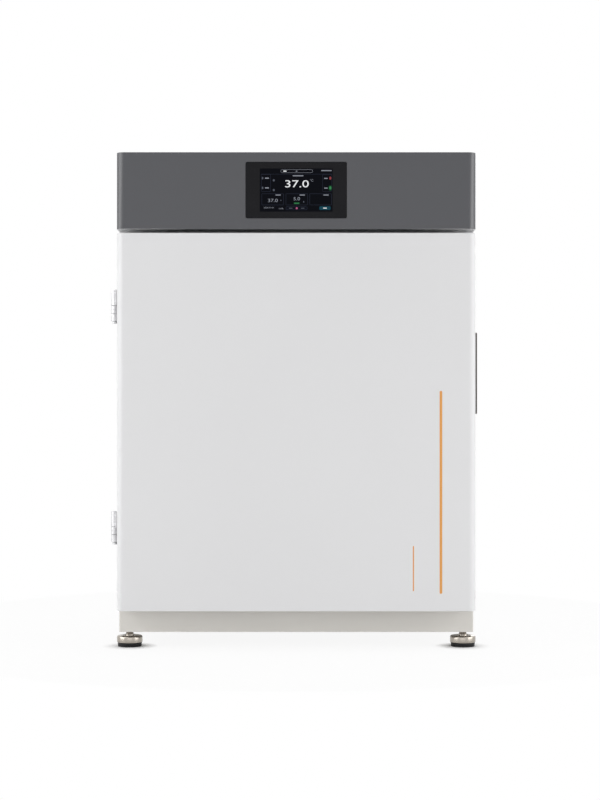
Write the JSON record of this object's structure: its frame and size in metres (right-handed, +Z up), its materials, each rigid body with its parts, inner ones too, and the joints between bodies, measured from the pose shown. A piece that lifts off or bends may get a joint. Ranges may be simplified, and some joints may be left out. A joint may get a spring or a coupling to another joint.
{
  "type": "carbon dioxide incubator",
  "caption": "Bench-top incubator cabinet with hinged insulated door, inner glass door, slotted shelves, grey header with touch panel and levelling feet.",
  "frame": {"origin": "on the floor, under the middle of the cabinet", "axes": "+Z up; the doors are on the -Y side, hinged at -X, and open towards -Y"},
  "size_m": [0.567, 0.5857, 0.7625],
  "materials": {
    "white_paint": "satin",
    "grey_cover": "satin",
    "stainless": "satin",
    "chrome": "polished",
    "hinge_metal": "satin",
    "panel_glass": "gloss",
    "clear_glass": "polished",
    "dark_plastic": "matte",
    "black_plastic": "matte",
    "rubber": "matte",
    "silicone": "satin",
    "gasket": "matte",
    "wool": "matte",
    "brass": "satin",
    "circuit_board": "satin",
    "aluminium": "satin"
  },
  "bodies": {
    "cabinet": {"cabinet_wrap": "white_paint", "base_pan": "white_paint", "top_cover": "white_paint", "front_frame": "white_paint", "electronics_deck": "stainless", "rear_service_panel": "white_paint", "insulation": "wool", "chamber_liner": "stainless", "glass_seal": "silicone", "header_cover": "grey_cover", "display_bezel": "panel_glass", "display_module": "black_plastic", "control_board": "circuit_board", "power_supply": "aluminium", "gas_valve": "brass", "gas_hose": "silicone", "gas_nozzle": "stainless", "co2_sensor": "stainless", "temperature_probe": "chrome", "fan_motor": "stainless", "air_duct": "stainless", "shelf_rack_left": "stainless", "shelf_rack_right": "stainless", "glass_hinge_block_lower": "stainless", "glass_hinge_block_upper": "stainless", "latch_catch": "stainless", "hinge_leaf_cabinet_lower": "hinge_metal", "hinge_leaf_cabinet_upper": "hinge_metal", "hinge_pin_lower": "hinge_metal", "hinge_pin_upper": "hinge_metal", "power_inlet": "black_plastic", "gas_fitting": "brass", "access_port_tube": "stainless"},
    "outer_door": {"door_skin": "white_paint", "door_foam": "wool", "door_liner": "white_paint", "door_gasket": "gasket", "door_grip": "dark_plastic", "hinge_leaf_door_lower": "hinge_metal", "hinge_leaf_door_upper": "hinge_metal"},
    "inner_door": {"glass_door": "clear_glass", "glass_clamp_lower": "stainless", "glass_clamp_upper": "stainless"},
    "latch": {"latch_knob": "stainless"},
    "lower_shelf": {"shelf_lower": "stainless"},
    "middle_shelf": {"shelf_middle": "stainless"},
    "upper_shelf": {"shelf_upper": "stainless"},
    "pan": {"water_pan": "stainless"},
    "fan": {"fan_wheel": "stainless", "fan_shaft": "chrome"},
    "rocker": {"rocker_switch": "black_plastic"},
    "plug": {"port_plug": "silicone"},
    "foot_front_left": {"foot_cup_front_left": "chrome", "foot_pad_front_left": "rubber"},
    "foot_front_right": {"foot_cup_front_right": "chrome", "foot_pad_front_right": "rubber"},
    "foot_rear_left": {"foot_cup_rear_left": "chrome", "foot_pad_rear_left": "rubber"},
    "foot_rear_right": {"foot_cup_rear_right": "chrome", "foot_pad_rear_right": "rubber"}
  },
  "joints": [
    {"name": "outer_door_hinge", "type": "hinge", "parent": "cabinet", "child": "outer_door", "pos_m": [-0.281, -0.2535, 0.3502], "axis": [0, 0, -1], "range_deg": [0, 120]},
    {"name": "inner_door_hinge", "type": "hinge", "parent": "cabinet", "child": "inner_door", "pos_m": [-0.219, -0.2584, 0.3502], "axis": [0, 0, -1], "range_deg": [0, 120]},
    {"name": "latch_turn", "type": "hinge", "parent": "inner_door", "child": "latch", "pos_m": [0.19, -0.2609, 0.3502], "axis": [0, -1, 0], "range_deg": [0, 90]},
    {"name": "lower_shelf_slide", "type": "slide", "parent": "cabinet", "child": "lower_shelf", "axis": [0, -1, 0], "range_m": [0, 0.034]},
    {"name": "middle_shelf_slide", "type": "slide", "parent": "cabinet", "child": "middle_shelf", "axis": [0, -1, 0], "range_m": [0, 0.034]},
    {"name": "upper_shelf_slide", "type": "slide", "parent": "cabinet", "child": "upper_shelf", "axis": [0, -1, 0], "range_m": [0, 0.034]},
    {"name": "water_pan_slide", "type": "slide", "parent": "cabinet", "child": "pan", "axis": [0, -1, 0], "range_m": [0, 0.034]},
    {"name": "fan_spin", "type": "hinge", "parent": "cabinet", "child": "fan", "pos_m": [0, 0.154, 0.455], "axis": [0, 1, 0], "continuous": true},
    {"name": "rocker_turn", "type": "hinge", "parent": "cabinet", "child": "rocker", "pos_m": [0.176, 0.2683, 0.7], "axis": [-1, 0, 0], "range_deg": [0, 24]},
    {"name": "port_plug_slide", "type": "slide", "parent": "cabinet", "child": "plug", "axis": [0, 1, 0], "range_m": [0, 0.03]},
    {"name": "foot_front_left_level", "type": "slide", "parent": "cabinet", "child": "foot_front_left", "axis": [0, 0, -1], "range_m": [0, 0.01]},
    {"name": "foot_front_right_level", "type": "slide", "parent": "cabinet", "child": "foot_front_right", "axis": [0, 0, -1], "range_m": [0, 0.01]},
    {"name": "foot_rear_left_level", "type": "slide", "parent": "cabinet", "child": "foot_rear_left", "axis": [0, 0, -1], "range_m": [0, 0.01]},
    {"name": "foot_rear_right_level", "type": "slide", "parent": "cabinet", "child": "foot_rear_right", "axis": [0, 0, -1], "range_m": [0, 0.01]}
  ],
  "couplings": [
    {"joint": "inner_door_hinge", "follows": "outer_door_hinge", "ratio": 1}
  ]
}
